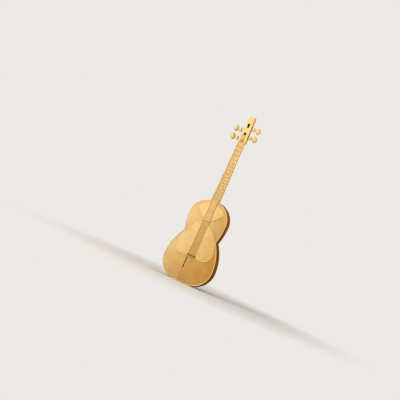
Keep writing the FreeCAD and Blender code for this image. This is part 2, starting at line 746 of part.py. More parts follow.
def make_bridge():
    """Bridge on two feet, with an arch between them and a notch for each string."""
    body = new_body("bridge")
    front = f"({SKIN} + bridge_high)"
    arch = "((bridge_foot_half - bridge_foot_long)^2 + bridge_arch^2) / (2 * bridge_arch)"
    outline = [
        Corner("-bridge_top_half", f"-{front}"),
        Corner("bridge_top_half", f"-{front}"),
        Corner("bridge_foot_half", f"-{SKIN} - bridge_arch / 2"),
        Corner("bridge_foot_half", f"-{SKIN}"),
        Corner("bridge_foot_half - bridge_foot_long", f"-{SKIN}", arch, -1),
        Corner("0", f"-{SKIN} - bridge_arch", arch, -1),
        Corner("-(bridge_foot_half - bridge_foot_long)", f"-{SKIN}"),
        Corner("-bridge_foot_half", f"-{SKIN}"),
        Corner("-bridge_foot_half", f"-{SKIN} - bridge_arch / 2"),
    ]
    low = f"({BRIDGE_REST} - bridge_wide / 2)"
    pad(body, "bridge_plate", outline, "bridge_wide", plane="XY_Plane", offset=low)
    notch_row(
        body, "bridge_notch", "bridge_pitch", front,
        (f"{low} - bridge_wide", f"{low} + 2 * bridge_wide"),
    )
    return body


def make_frets():
    """Gut frets, each a band round the neck, at equal steps over one octave or down to the body."""
    gap = value("fret_gap")
    thick = value("fret_thick")
    wide = value("fret_wide")
    scale = value(f"{NUT_REST} - {BRIDGE_REST}")
    octave = value("fret_octave")

    def section(half, grow, up):
        """Face of the neck's outline with its fingerboard, grown on all sides."""
        front = -value(FINGER) - grow
        side = -value(f"{FACE} - neck_side")
        reach = half + grow
        points = [
            Vector(-reach, side, up), Vector(-reach, front, up),
            Vector(reach, front, up), Vector(reach, side, up),
        ]
        back = Part.Arc(points[3], Vector(0, side + reach, up), points[0]).toShape()
        return Part.Face(Part.Wire([Part.makeLine(a, b) for a, b in zip(points, points[1:])] + [back]))

    bands = []
    for step in range(1, int(octave) + 1):
        low = value(NUT_REST) - scale * (1 - 2 ** (-step / octave)) - wide / 2
        if low < value(BODY_TOP) + wide:
            break
        half = value(neck_half(str(low)))
        band = section(half, gap + thick, low).cut(section(half, gap, low))
        bands.append(band.Faces[0].extrude(Vector(0, 0, wide)))
    frets = doc.addObject("Part::Feature", "frets")
    frets.Shape = Part.makeCompound(bands)
    return frets


# Head and pegs

def head_outline():
    """Front of the head: flared foot, tapered sides and rounded upper corners."""
    return both_sides([
        Corner("head_flare_half", NUT_REST),
        Corner("head_foot_half", f"{NUT_REST} + head_flare_high"),
        Corner("head_top_half", f"{HEAD_TOP} - head_corner", "head_corner"),
        Corner("head_top_half - head_corner", HEAD_TOP),
    ])


def peg_side(number):
    """Side of a peg's knob: the first and third on the left, the others on the right."""
    return -1 if number % 2 else 1


def peg_up(number):
    """Height of a peg's axis."""
    return f"({NUT_REST} + peg_first_up + {number - 1} * peg_pitch)"


def make_pegbox():
    """Trough of the head, closed behind, with tapered peg holes and a tenon into the neck."""
    body = new_body("pegbox")
    block = pad(body, "pegbox_block", head_outline(), f"{TROUGH_FRONT} - head_back", offset="head_back")
    side_length = value("head_long") / 2

    def back_side(edge):
        """True for the long edges of the head's back."""
        return at_front(edge, "head_back") and edge.Length > side_length

    round_edges(body, "pegbox_back_edge", block, "head_back_round", back_side)
    neck_back = f"-({FACE} - neck_side - neck_nut_half)"
    wedge = [
        Corner(neck_back, NUT_REST),
        Corner("head_back", NUT_REST),
        Corner("head_back", f"{NUT_REST} + head_slope"),
        Corner("-head_back", f"{NUT_REST} + head_slope", "2 * head_slope", -1),
    ]
    pocket(
        body, "pegbox_slope", wedge, "4 * head_flare_half", plane="YZ_Plane", offset="2 * head_flare_half"
    )
    box(
        body, "pegbox_hollow", ("-cavity_half", "cavity_half"), ("cavity_floor", "head_front"),
        (f"{NUT_REST} + cavity_foot", f"{HEAD_TOP} - cavity_roof"), cut=True,
    )
    box(
        body, "pegbox_tenon", ("-head_tenon_half", "head_tenon_half"),
        ("head_tenon_front - head_tenon_deep", "head_tenon_front"),
        (f"{NUT_REST} - head_tenon_long", f"{NUT_REST} + head_tenon_long / 4"),
    )
    for number in range(1, STRING_COUNT + 1):
        side = peg_side(number)
        hole = body.newObject("PartDesign::SubtractiveCone", f"peg_hole_{number}")
        reach = "(peg_tip + head_corner)"
        hole.Placement = FreeCAD.Placement(Vector(), Rotation(Vector(0, 1, 0), 90 * side))
        bind(hole, "Placement.Base.x", f"{-side} * {reach}")
        bind(hole, "Placement.Base.y", "-peg_front")
        bind(hole, "Placement.Base.z", peg_up(number))
        bind(hole, "Radius1", f"peg_tip_radius - {PEG_TAPER} * head_corner + peg_gap")
        bind(hole, "Radius2", f"peg_tip_radius + {PEG_TAPER} * (2 * peg_tip + head_corner) + peg_gap")
        bind(hole, "Height", f"2 * {reach}")
    return body


def make_pegbox_face():
    """Front plate of the head, with two slots and a fine slit for each string."""
    body = new_body("pegbox_face")
    pad(body, "face_plate", head_outline(), "head_face_thick", offset=TROUGH_FRONT)
    depth = (f"{TROUGH_FRONT} - head_face_thick", "head_front + head_face_thick")
    for name, up in (("low", LOW_SLOT), ("high", HIGH_SLOT)):
        box(body, f"face_{name}_slot", ("-slot_half", "slot_half"), depth, up, cut=True)
    across = f"-nut_pitch * {(STRING_COUNT - 1) / 2}"
    slit = box(
        body, "face_string_slit",
        (f"{across} - string_slit_wide / 2", f"{across} + string_slit_wide / 2"),
        depth, (f"{NUT_REST} + string_slit_up", LOW_SLOT[0]), cut=True,
    )
    row = body.newObject("PartDesign::LinearPattern", "face_string_slits")
    row.Originals = [slit]
    row.Direction = ([item for item in body.Origin.OriginFeatures if item.Role == "X_Axis"][0], [""])
    row.Occurrences = STRING_COUNT
    bind(row, "Length", f"nut_pitch * {STRING_COUNT - 1}")
    body.Tip = row
    return body


def place_on_peg(body, number):
    """Move a body made along X at the origin to a peg's axis, its knob end outwards."""
    turn = 0 if peg_side(number) > 0 else 180
    body.Placement = FreeCAD.Placement(Vector(), Rotation(Vector(0, 0, 1), turn))
    bind(body, "Placement.Base.y", "-peg_front")
    bind(body, "Placement.Base.z", peg_up(number))


def peg_radius(along):
    """Radius of the tapered shaft at a distance from the middle of the head."""
    return f"(peg_tip_radius + {PEG_TAPER} * ({along} + peg_tip))"


def make_peg(number):
    """Turned peg: tapered shaft, round collar, waist and flattened ball knob.

    The knob is two spherical caps whose centres lie on the axis, joined by a rounded rim that
    both caps touch without a step. The collar's rim is a zone of a sphere.
    """
    label = f"peg_{number}"
    collar_end = "(peg_collar_at + peg_collar_wide)"
    collar_rim = "sqrt(peg_collar_radius^2 - (peg_collar_wide / 2 - peg_collar_side)^2)"
    rim_at = "(peg_knob_radius - peg_knob_rim)"
    cap = f"((peg_knob_half^2 + {rim_at}^2 - peg_knob_rim^2) / (2 * (peg_knob_half - peg_knob_rim)))"
    rim_out = f"(({cap} - peg_knob_half) * peg_knob_rim / ({cap} - peg_knob_rim))"
    rim_up = f"({rim_at} * {cap} / ({cap} - peg_knob_rim))"
    knob_foot = f"peg_knob_at - peg_knob_half + {cap} - sqrt({cap}^2 - peg_neck_radius^2)"
    profile = [
        Corner("-peg_tip", "0"),
        Corner("peg_knob_at + peg_knob_half", "0", cap),
        Corner(f"peg_knob_at + {rim_out}", rim_up, "peg_knob_rim"),
        Corner(f"peg_knob_at - {rim_out}", rim_up, cap),
        Corner(knob_foot, "peg_neck_radius"),
        Corner(collar_end, "peg_neck_radius"),
        Corner(f"{collar_end} - peg_collar_side", collar_rim, "peg_collar_radius"),
        Corner("peg_collar_at + peg_collar_side", collar_rim),
        Corner("peg_collar_at", "peg_shaft_radius"),
        Corner("-peg_tip", "peg_tip_radius"),
    ]
    body = new_body(label)
    revolve(body, label + "_turned", profile, 360, axis="H_Axis")
    place_on_peg(body, number)
    return body


def string_across(number):
    """Place of a peg's string at the nut, in steps of the string pitch from the middle."""
    return peg_side(number) * (1.5 if number <= 2 else 0.5)


def make_winding(number):
    """Outer shape of the string wound on a peg."""
    label = f"peg_{number}_winding"
    middle = f"({abs(string_across(number))} * nut_pitch)"
    near = f"({middle} - winding_half)"
    far = f"({middle} + winding_half)"
    profile = [
        Corner(near, peg_radius(near)),
        Corner(far, peg_radius(far)),
        Corner(far, "winding_radius"),
        Corner(near, "winding_radius"),
    ]
    body = new_body(label)
    revolve(body, label + "_turns", profile, 360, axis="H_Axis")
    place_on_peg(body, number)
    return body


# Strings and tail

def make_string(number):
    """Taut string from its peg over the nut and the bridge to its tail pin."""
    radius = value("string_radius")
    share = string_across(number)
    at_nut = share * value("nut_pitch")
    at_bridge = share * value("bridge_pitch")
    leave = value("peg_front + winding_radius + winding_gap + string_radius")
    hook_front = value(f"{FACE} + lip_thick + pin_out / 2")
    hook_up = value("pin_up + pin_radius + string_seat")
    route = [
        Vector(at_nut, -leave, value(peg_up(number))),
        Vector(at_nut, -value(NUT_STRING), value(NUT_REST)),
        Vector(at_bridge, -value(BRIDGE_STRING), value(BRIDGE_REST)),
        Vector(at_bridge, -hook_front, hook_up),
    ]
    legs = []
    for start, end in zip(route, route[1:]):
        run = end - start
        legs.append(Part.makeCylinder(radius, run.Length, start, run))
    wire = doc.addObject("Part::Feature", f"string_{number}")
    wire.Shape = legs[0].multiFuse(legs[1:]).removeSplitter()
    return wire


def make_tailpiece():
    """String holder: a plate let into the tail and a lip up the front, bored for the pins."""
    body = new_body("tailpiece")
    front = f"({FACE} + lip_thick)"
    box(body, "tailpiece_plate", ("-tail_half", "tail_half"), ("-tail_back", FACE), ("0", "tail_thick"))
    lip = box(body, "tailpiece_lip", ("-lip_half", "lip_half"), (FACE, front), ("0", "lip_high"))
    top = value("lip_high")
    round_edges(
        body, "tailpiece_edge", lip, "lip_thick / 3",
        lambda edge: at_front(edge, front) and all(abs(v.Z - top) < 0.01 for v in edge.Vertexes),
    )
    for number in range(1, STRING_COUNT + 1):
        hole = body.newObject("PartDesign::SubtractiveCylinder", f"pin_hole_{number}")
        hole.Placement = FreeCAD.Placement(Vector(), Rotation(Vector(1, 0, 0), 90))
        bind(hole, "Placement.Base.x", f"{string_across(number)} * bridge_pitch")
        bind(hole, "Placement.Base.y", f"-({front} - pin_in - glue_gap)")
        bind(hole, "Placement.Base.z", "pin_up")
        bind(hole, "Radius", "pin_radius + glue_gap")
        bind(hole, "Height", "2 * pin_in")
    return body


def make_tail_pins():
    """Four pins in the lip, on which the strings hook."""
    pins = []
    for number in range(1, STRING_COUNT + 1):
        pin = doc.addObject("Part::Cylinder", f"tail_pin_{number}")
        pin.Placement = FreeCAD.Placement(Vector(), Rotation(Vector(1, 0, 0), 90))
        bind(pin, "Placement.Base.x", f"{string_across(number)} * bridge_pitch")
        bind(pin, "Placement.Base.y", f"-({FACE} + lip_thick - pin_in)")
        bind(pin, "Placement.Base.z", "pin_up")
        bind(pin, "Radius", "pin_radius")
        bind(pin, "Height", "pin_in + pin_out")
        pins.append(pin)
    group = doc.addObject("Part::Compound", "tail_pins")
    group.Links = pins
    return group


# Assembly

def make_tar():
    """All pieces of the tar, in the order of the neck up from the body."""
    hollow = make_hollow()
    pieces = [
        make_bowl_half("bowl_left_half", -1, hollow),
        make_bowl_half("bowl_right_half", 1, hollow),
        make_face_board(),
        make_large_skin(),
        make_small_skin(),
        make_neck_block(hollow),
        fitted_block("tail_block", ("bowl_wall", "bowl_wall + tail_block_long"), hollow),
        make_tailpiece(),
        make_tail_pins(),
        make_neck(),
        make_fingerboard(),
        make_bone_strip("bone_strip_left", -1),
        make_bone_strip("bone_strip_right", 1),
        make_tongue(),
        make_frets(),
        make_nut(),
        make_bridge(),
        make_pegbox(),
        make_pegbox_face(),
    ]
    for number in range(1, STRING_COUNT + 1):
        pieces.append(make_peg(number))
        pieces.append(make_winding(number))
        pieces.append(make_string(number))
    return pieces


def check(pieces):
    """Stop if any object failed, or a piece is empty, open or invalid."""
    doc.recompute()
    for item in doc.Objects:
        if "Invalid" in item.State or "Error" in item.State:
            raise RuntimeError(f"{item.Name} failed: {item.State}")
    for piece in pieces:
        shape = piece.Shape
        if shape.isNull() or not shape.isValid() or not shape.Solids:
            raise RuntimeError(f"{piece.Label} has no sound solid")


def export(pieces):
    """Write one STEP file for each piece."""
    os.makedirs("parts", exist_ok=True)
    for piece in pieces:
        piece.Shape.exportStep(f"parts/{piece.Label}.step")
        box_of = piece.Shape.BoundBox
        print(
            f"{piece.Label}: {len(piece.Shape.Solids)} solid, {piece.Shape.Volume / 1000:.2f} cm3,"
            f" x {box_of.XMin:.1f} {box_of.XMax:.1f}, y {box_of.YMin:.1f} {box_of.YMax:.1f},"
            f" z {box_of.ZMin:.1f} {box_of.ZMax:.1f}"
        )


TAR = make_tar()
check(TAR)
export(TAR)
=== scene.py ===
"""Looks of a gilded Persian tar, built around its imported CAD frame.

Everything is in metres in the frame's own axes: +Z runs up the neck, -Y is the front and the
origin is on the flat of the tail. Sizes of finishes and trim are written in millimetres.
"""

import logging
import math
from dataclasses import dataclass
from enum import Enum

import bmesh
import bpy
from mathutils import Matrix, Vector

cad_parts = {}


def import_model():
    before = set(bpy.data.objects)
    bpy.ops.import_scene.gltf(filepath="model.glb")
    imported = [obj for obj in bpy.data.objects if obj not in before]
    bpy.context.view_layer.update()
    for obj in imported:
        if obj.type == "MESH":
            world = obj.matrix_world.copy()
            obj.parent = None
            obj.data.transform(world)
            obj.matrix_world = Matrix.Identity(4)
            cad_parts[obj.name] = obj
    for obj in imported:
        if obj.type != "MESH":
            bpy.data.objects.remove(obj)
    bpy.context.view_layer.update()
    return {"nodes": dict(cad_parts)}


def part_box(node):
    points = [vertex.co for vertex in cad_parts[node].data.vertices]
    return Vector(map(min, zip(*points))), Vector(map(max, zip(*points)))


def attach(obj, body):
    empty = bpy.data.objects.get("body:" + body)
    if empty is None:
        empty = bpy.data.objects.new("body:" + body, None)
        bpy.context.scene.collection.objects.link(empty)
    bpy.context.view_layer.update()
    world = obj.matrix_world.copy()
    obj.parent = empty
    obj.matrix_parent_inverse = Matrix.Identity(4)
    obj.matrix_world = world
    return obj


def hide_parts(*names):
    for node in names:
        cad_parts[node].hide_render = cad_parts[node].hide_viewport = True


LOG = logging.getLogger("tar")
MM = 0.001

# Points and faces of a mesh.
Shape = tuple[list[Vector], list[tuple[int, ...]]]

# Vertices this near a plane, in metres, belong to it.
FLAT_WITHIN = 0.02 * MM
# Vertices this near a string's foremost one, in metres, lie where it crosses the bridge.
CREST_WITHIN = 0.3 * MM
# A wave texture at scale 1 repeats after this length.
WAVE_LENGTH = 0.31


class Slot(Enum):
    """Names of material slots of the record, passed with each new piece."""

    GILDED_WOOD = "gilded_wood"
    GILDED_SKIN = "gilded_skin"
    FINGERBOARD = "fingerboard_wood"
    GUT = "gut"
    STRING_BRASS = "string_brass"


class Body(Enum):
    """Bodies of the frame that pieces ride on."""

    ROOT = "body"
    PEG_1 = "peg_1"
    PEG_2 = "peg_2"
    PEG_3 = "peg_3"
    PEG_4 = "peg_4"


PEG_BODIES = (Body.PEG_1, Body.PEG_2, Body.PEG_3, Body.PEG_4)


# Colour and node helpers

def linear(code: str) -> tuple[float, float, float, float]:
    """Turn an sRGB hex colour to linear.

    Args:
        code: Six hex digits after a hash.

    Returns:
        Linear red, green and blue, with an alpha of 1.
    """
    parts = [int(code[place:place + 2], 16) / 255 for place in (1, 3, 5)]
    curve = [part / 12.92 if part <= 0.04045 else ((part + 0.055) / 1.055) ** 2.4 for part in parts]
    return (curve[0], curve[1], curve[2], 1.0)


def add_node(
    tree: bpy.types.NodeTree, kind: str, sockets: dict | None = None, **settings
) -> bpy.types.Node:
    """Add one node with its settings, socket values and links.

    Args:
        tree: Node tree that takes the node.
        kind: Blender's name of the node's type.
        sockets: Value, or output socket to link, for each input by name or place.
        settings: Properties of the node, such as its operation.

    Returns:
        The new node.
    """
    node = tree.nodes.new(kind)
    for name, setting in settings.items():
        setattr(node, name, setting)
    for key, given in (sockets or {}).items():
        socket = node.inputs[key]
        if isinstance(given, bpy.types.NodeSocket):
            tree.links.new(given, socket)
        else:
            socket.default_value = given
    return node


def new_material(name: str) -> tuple[bpy.types.Material, bpy.types.NodeTree]:
    """Start a material with an empty node tree.

    Args:
        name: Name of the material.

    Returns:
        The material and its tree.
    """
    material = bpy.data.materials.new(name)
    material.use_nodes = True
    material.node_tree.nodes.clear()
    return material, material.node_tree


# Mesh helpers

def mesh_object(
    name: str, points: list[Vector], faces: list[tuple[int, ...]], smooth: bool = True
) -> bpy.types.Object:
    """Make an object of points and faces, with its normals outwards.

    Args:
        name: Name of the piece.
        points: Places of its vertices.
        faces: Vertex indices of each face.
        smooth: True to shade it smooth.

    Returns:
        The new object, linked to the scene.
    """
    mesh = bpy.data.meshes.new(name)
    mesh.from_pydata([tuple(point) for point in points], [], faces)
    work = bmesh.new()
    work.from_mesh(mesh)
    bmesh.ops.recalc_face_normals(work, faces=work.faces)
    for face in work.faces:
        face.smooth = smooth
    work.to_mesh(mesh)
    work.free()
    piece = bpy.data.objects.new(name, mesh)
    bpy.context.scene.collection.objects.link(piece)
    return piece


def tube(path: list[Vector], radius: float, sides: int, closed: bool = False) -> Shape:
    """Points and faces of a round tube along a path, turned with the path without twist.

    Args:
        path: Points of its centreline.
        radius: Radius of the tube.
        sides: Sides of its section.
        closed: True where the path comes back to its start.

    Returns:
        The points and the faces.
    """
    count = len(path)
    tangents = []
    for index in range(count):
        ahead = path[(index + 1) % count] if closed or index < count - 1 else path[index]
        behind = path[index - 1] if closed or index else path[index]
        tangents.append((ahead - behind).normalized())
    normal = tangents[0].orthogonal().normalized()
    normals = [normal]
    for before, after in zip(tangents, tangents[1:]):
        normal = before.rotation_difference(after) @ normal
        normals.append((normal - after * normal.dot(after)).normalized())
    drift = 0.0
    if closed:
        carried = tangents[-1].rotation_difference(tangents[0]) @ normals[-1]
        side = tangents[0].cross(normals[0])
        drift = math.atan2(carried.dot(side), carried.dot(normals[0]))
    points, faces = [], []
    for index in range(count):
        side = tangents[index].cross(normals[index])
        for step in range(sides):
            angle = math.tau * step / sides - drift * index / count
            outwards = normals[index] * math.cos(angle) + side * math.sin(angle)
            points.append(path[index] + outwards * radius)
    for index in range(count if closed else count - 1):
        following = (index + 1) % count
        for step in range(sides):
            beside = (step + 1) % sides
            faces.append((
                index * sides + step, index * sides + beside,
                following * sides + beside, following * sides + step,
            ))
    if not closed:
        faces.append(tuple(reversed(range(sides))))
        faces.append(tuple(range((count - 1) * sides, count * sides)))
    return points, faces


def joined(parts: list[Shape]) -> Shape:
    """Put several sets of points and faces into one.

    Args:
        parts: Points and faces of each set.

    Returns:
        All the points and all the faces.
    """
    points, faces = [], []
    for some_points, some_faces in parts:
        start = len(points)
        points += some_points
        faces += [tuple(start + index for index in face) for face in some_faces]
    return points, faces


def resampled(loop: list[Vector], step: float) -> list[Vector]:
    """Space a closed loop's points evenly.

    Args:
        loop: Points of the loop in order.
        step: Wanted distance between points.

    Returns:
        The new points.
    """
    legs = [(loop[(index + 1) % len(loop)] - point).length for index, point in enumerate(loop)]
    total = sum(legs)
    count = max(8, round(total / step))
    points, leg, passed = [], 0, 0.0
    for index in range(count):
        wanted = total * index / count
        while passed + legs[leg] < wanted:
            passed += legs[leg]
            leg += 1
        share = (wanted - passed) / legs[leg]
        points.append(loop[leg].lerp(loop[(leg + 1) % len(loop)], share))
    return points


def inset(loop: list[Vector], distance: float) -> list[Vector]:
    """Move a flat loop in the XZ plane inwards, along the mean of its neighbours' normals.

    Args:
        loop: Points of the loop in order.
        distance: How far each point moves.

    Returns:
        The moved points.
    """
    count = len(loop)
    area = sum(
        one.x * two.z - two.x * one.z for one, two in zip(loop, loop[1:] + loop[:1])
    )
    turn = 1.0 if area > 0 else -1.0
    moved = []
    for index, point in enumerate(loop):
        along = (loop[(index + 1) % count] - loop[index - 1]).normalized()
        moved.append(point + Vector((-along.z, 0.0, along.x)) * distance * turn)
    return moved


def rim_loop(node: bpy.types.Object, front: float) -> list[Vector]:
    """Find the outer edge of a node's flat front face.

    Args:
        node: CAD node with a flat face towards -Y.
        front: Y of that face.

    Returns:
        Points of the longest loop round the face, in order.
    """
    work = bmesh.new()
    work.from_mesh(node.data)
    bmesh.ops.remove_doubles(work, verts=work.verts, dist=0.01 * MM)
    flat = {
        face for face in work.faces
        if all(abs(vert.co.y - front) < FLAT_WITHIN for vert in face.verts)
    }
    links: dict[int, list[int]] = {}
    places = {}
    for edge in work.edges:
        if sum(face in flat for face in edge.link_faces) == 1:
            one, two = edge.verts
            links.setdefault(one.index, []).append(two.index)
            links.setdefault(two.index, []).append(one.index)
            places[one.index] = one.co.copy()
            places[two.index] = two.co.copy()
    work.free()
    loops = []
    while links:
        start = next(iter(links))
        loop, here, before = [start], start, None
        while True:
            onward = [other for other in links[here] if other != before]
            before, here = here, onward[0]
            if here == start:
                break
            loop.append(here)
        for index in loop:
            links.pop(index, None)
        loops.append([places[index] for index in loop])
    return max(loops, key=lambda loop: sum((a - b).length for a, b in zip(loop, loop[1:])))


# Finishes

@dataclass(frozen=True)
class Gilding:
    """Gold leaf laid on gesso over carved wood or skin, then burnished by hand.

    The eye sees one satin gold with soft clouds of brighter burnish, a fine grain of the ground
    under the leaf and faint laps between leaves. Painted shade darkens the corners, where ambient
    occlusion finds nearby surfaces, and the gold towards the tail and the treble side.
    """

    name: str
    leaf: str
    burnish: str
    # Colour of painted shade in corners, where ambient occlusion finds nearby surfaces; a seam, where
    # there is one, takes this colour too.
    corner_shade: str
    # Tint of a painted shade gradient, multiplied into the gold more towards the tail and the treble
    # side.
    shade_tint: str = "#E5CBA5"
    # Painted shade deepens along this slope, in metres, between the two places.
    shade_slope: tuple[float, float, float] = (1.2, 0.0, -0.4)
    shade_from: float = -0.23
    shade_to: float = 0.09
    # Light that grazes gold leaf comes back nearly as yellow as the leaf.
    graze: str = "#E2B566"
    roughness: float = 0.46
    # Leaf under a thin matt size coat keeps part of the ground's dull look.
    metal: float = 0.6
    # The ground's grain is about 0.6 mm wide, drawn at 2 mm so that the render shows it.
    grain_mm: float = 2.0
    grain_long_mm: float = 26.0
    grain_deep_mm: float = 0.05
    # A leaf of gold is about 80 mm square.
    leaf_mm: float = 80.0
    lap_shade: float = 0.10
    cloud_mm: float = 55.0
    corner_mm: float = 3.0
    # Half width of a glue seam that shows through the leaf down the middle, or 0 for none.
    seam_mm: float = 0.0

    def build(self) -> bpy.types.Material:
        """Make the node material of this gilding.

        Returns:
            The new material, to be shared by every piece with this finish.
        """
        material, tree = new_material(self.name)
        place = add_node(tree, "ShaderNodeTexCoord").outputs["Object"]
        cloud = add_node(tree, "ShaderNodeTexNoise", {
            "Vector": place, "Scale": 1 / (self.cloud_mm * MM), "Detail": 3.0, "Roughness": 0.55,
        }).outputs["Fac"]
        leaves = add_node(tree, "ShaderNodeTexVoronoi", {
            "Vector": place, "Scale": 1 / (self.leaf_mm * MM), "Randomness": 0.35,
        }, distance="CHEBYCHEV").outputs["Color"]
        leaf_tone = add_node(tree, "ShaderNodeMapRange", {
            "Value": leaves, "To Min": 1 - self.lap_shade, "To Max": 1.0,
        }).outputs["Result"]
        stretched = add_node(tree, "ShaderNodeMapping", {
            "Vector": place,
            "Scale": (1 / (self.grain_mm * MM), 1 / (self.grain_mm * MM), 1 / (self.grain_long_mm * MM)),
        }).outputs["Vector"]
        grain = add_node(tree, "ShaderNodeTexNoise", {
            "Vector": stretched, "Scale": 1.0, "Detail": 4.0, "Roughness": 0.6,
        }).outputs["Fac"]
        speck = add_node(tree, "ShaderNodeTexNoise", {
            "Vector": place, "Scale": 1 / (1.4 * MM), "Detail": 2.0, "Roughness": 0.7,
        }).outputs["Fac"]
        cloud_share = add_node(tree, "ShaderNodeMapRange", {
            "Value": cloud, "From Min": 0.38, "From Max": 0.66,
        }).outputs["Result"]
        gold = add_node(tree, "ShaderNodeMix", {
            0: cloud_share, 6: linear(self.leaf), 7: linear(self.burnish),
        }, data_type="RGBA").outputs[2]
        streak = add_node(tree, "ShaderNodeMapRange", {
            "Value": grain, "From Min": 0.3, "From Max": 0.7, "To Min": 0.93, "To Max": 1.05,
        }).outputs["Result"]
        tone = add_node(tree, "ShaderNodeMath", {
            0: leaf_tone, 1: streak,
        }, operation="MULTIPLY").outputs[0]
        shaded = add_node(tree, "ShaderNodeVectorMath", {
            0: gold, "Scale": tone,
        }, operation="SCALE").outputs[0]
        # Painted shade: along the slope the gold is multiplied towards the tint, darker towards the tail
        # and the treble side.
        slope = add_node(tree, "ShaderNodeVectorMath", {
            0: place, 1: self.shade_slope,
        }, operation="DOT_PRODUCT").outputs["Value"]
        shade_share = add_node(tree, "ShaderNodeMapRange", {
            "Value": slope, "From Min": self.shade_from, "From Max": self.shade_to,
        }).outputs["Result"]
        slope_shaded = add_node(tree, "ShaderNodeMix", {
            0: shade_share, 6: shaded, 7: linear(self.shade_tint),
        }, data_type="RGBA", blend_type="MULTIPLY").outputs[2]
        # Painted shade in corners: where ambient occlusion finds nearby surfaces, the colour goes
        # towards the corner shade colour.
        corner = add_node(tree, "ShaderNodeAmbientOcclusion", {
            "Distance": self.corner_mm * MM,
        }, samples=6).outputs["AO"]
        open_share = add_node(tree, "ShaderNodeMapRange", {
            "Value": corner, "From Min": 0.35, "From Max": 0.92,
        }).outputs["Result"]
        if self.seam_mm:
            across = add_node(tree, "ShaderNodeSeparateXYZ", {0: place}).outputs["X"]
            apart = add_node(tree, "ShaderNodeMath", {0: across}, operation="ABSOLUTE").outputs[0]
            clear = add_node(tree, "ShaderNodeMapRange", {
                "Value": apart, "From Max": self.seam_mm * MM, "To Min": 0.35,
            }).outputs["Result"]
            open_share = add_node(tree, "ShaderNodeMath", {
                0: open_share, 1: clear,
            }, operation="MULTIPLY").outputs[0]
        colour = add_node(tree, "ShaderNodeMix", {
            0: open_share, 6: linear(self.corner_shade), 7: slope_shaded,
        }, data_type="RGBA").outputs[2]
        rough = add_node(tree, "ShaderNodeMapRange", {
            "Value": cloud, "From Min": 0.3, "From Max": 0.7,
            "To Min": self.roughness + 0.07, "To Max": self.roughness - 0.05,
        }).outputs["Result"]
        rough_speck = add_node(tree, "ShaderNodeMath", {
            0: speck, 1: 0.08, 2: rough,
        }, operation="MULTIPLY_ADD").outputs[0]
        height = add_node(tree, "ShaderNodeMath", {
            0: speck, 1: 0.5, 2: grain,
        }, operation="MULTIPLY_ADD").outputs[0]
        normal = add_node(tree, "ShaderNodeBump", {
            "Height": height, "Distance": self.grain_deep_mm * MM, "Strength": 0.8,
        }).outputs["Normal"]
        shader = add_node(tree, "ShaderNodeBsdfPrincipled", {
            "Base Color": colour, "Metallic": self.metal, "Roughness": rough_speck, "Normal": normal,
            "Specular Tint": linear(self.graze),
        })
        add_node(tree, "ShaderNodeOutputMaterial", {"Surface": shader.outputs["BSDF"]})
        return material


@dataclass(frozen=True)
class PunchedGold:
    """Gilding over a ground worked with a small punch, so that it glitters in fine mottles.

    The eye sees a darker gold strip with bright and dark flecks and a faint diagonal weave.
    """

    name: str
    leaf: str
    fleck: str
    # Colour of painted shade in corners, where ambient occlusion finds nearby surfaces.
    corner_shade: str
    graze: str = "#E2B566"
    roughness: float = 0.5
    metal: float = 0.6
    # Real punch marks are about 1.5 mm apart, drawn at 4 mm so that the render shows them.
    punch_mm: float = 4.0
    punch_deep_mm: float = 0.25
    # The weave's lines stand 7 mm apart and lean by 48 degrees.
    hatch_mm: float = 7.0
    hatch_turn: float = 48.0
    corner_mm: float = 1.5

    def build(self) -> bpy.types.Material:
        """Make the node material of this worked gilding.

        Returns:
            The new material, to be shared by every piece with this finish.
        """
        material, tree = new_material(self.name)
        place = add_node(tree, "ShaderNodeTexCoord").outputs["Object"]
        marks = add_node(tree, "ShaderNodeTexVoronoi", {
            "Vector": place, "Scale": 1 / (self.punch_mm * MM), "Randomness": 0.9,
        })
        turned = add_node(tree, "ShaderNodeMapping", {
            "Vector": place, "Rotation": (0.0, math.radians(self.hatch_turn), 0.0),
        }).outputs["Vector"]
        hatch = add_node(tree, "ShaderNodeTexWave", {
            "Vector": turned, "Scale": WAVE_LENGTH / (self.hatch_mm * MM), "Distortion": 2.2,
            "Detail": 2.0, "Detail Scale": 1.4,
        }, bands_direction="X").outputs["Fac"]
        fleck_share = add_node(tree, "ShaderNodeMapRange", {
            "Value": marks.outputs["Color"], "From Min": 0.25, "From Max": 0.95,
        }).outputs["Result"]
        gold = add_node(tree, "ShaderNodeMix", {
            0: fleck_share, 6: linear(self.leaf), 7: linear(self.fleck),
        }, data_type="RGBA").outputs[2]
        hatch_tone = add_node(tree, "ShaderNodeMapRange", {
            "Value": hatch, "To Min": 0.86, "To Max": 1.04,
        }).outputs["Result"]
        shaded = add_node(tree, "ShaderNodeVectorMath", {
            0: gold, "Scale": hatch_tone,
        }, operation="SCALE").outputs[0]
        # Painted shade in corners, from ambient occlusion.
        corner = add_node(tree, "ShaderNodeAmbientOcclusion", {
            "Distance": self.corner_mm * MM,
        }, samples=6).outputs["AO"]
        colour = add_node(tree, "ShaderNodeMix", {
            0: corner, 6: linear(self.corner_shade), 7: shaded,
        }, data_type="RGBA").outputs[2]
        normal = add_node(tree, "ShaderNodeBump", {
            "Height": marks.outputs["Distance"], "Distance": self.punch_deep_mm * MM, "Strength": 0.7,
        }).outputs["Normal"]
        shader = add_node(tree, "ShaderNodeBsdfPrincipled", {
            "Base Color": colour, "Metallic": self.metal, "Roughness": self.roughness, "Normal": normal,
            "Specular Tint": linear(self.graze),
        })
        add_node(tree, "ShaderNodeOutputMaterial", {"Surface": shader.outputs["BSDF"]})
        return material


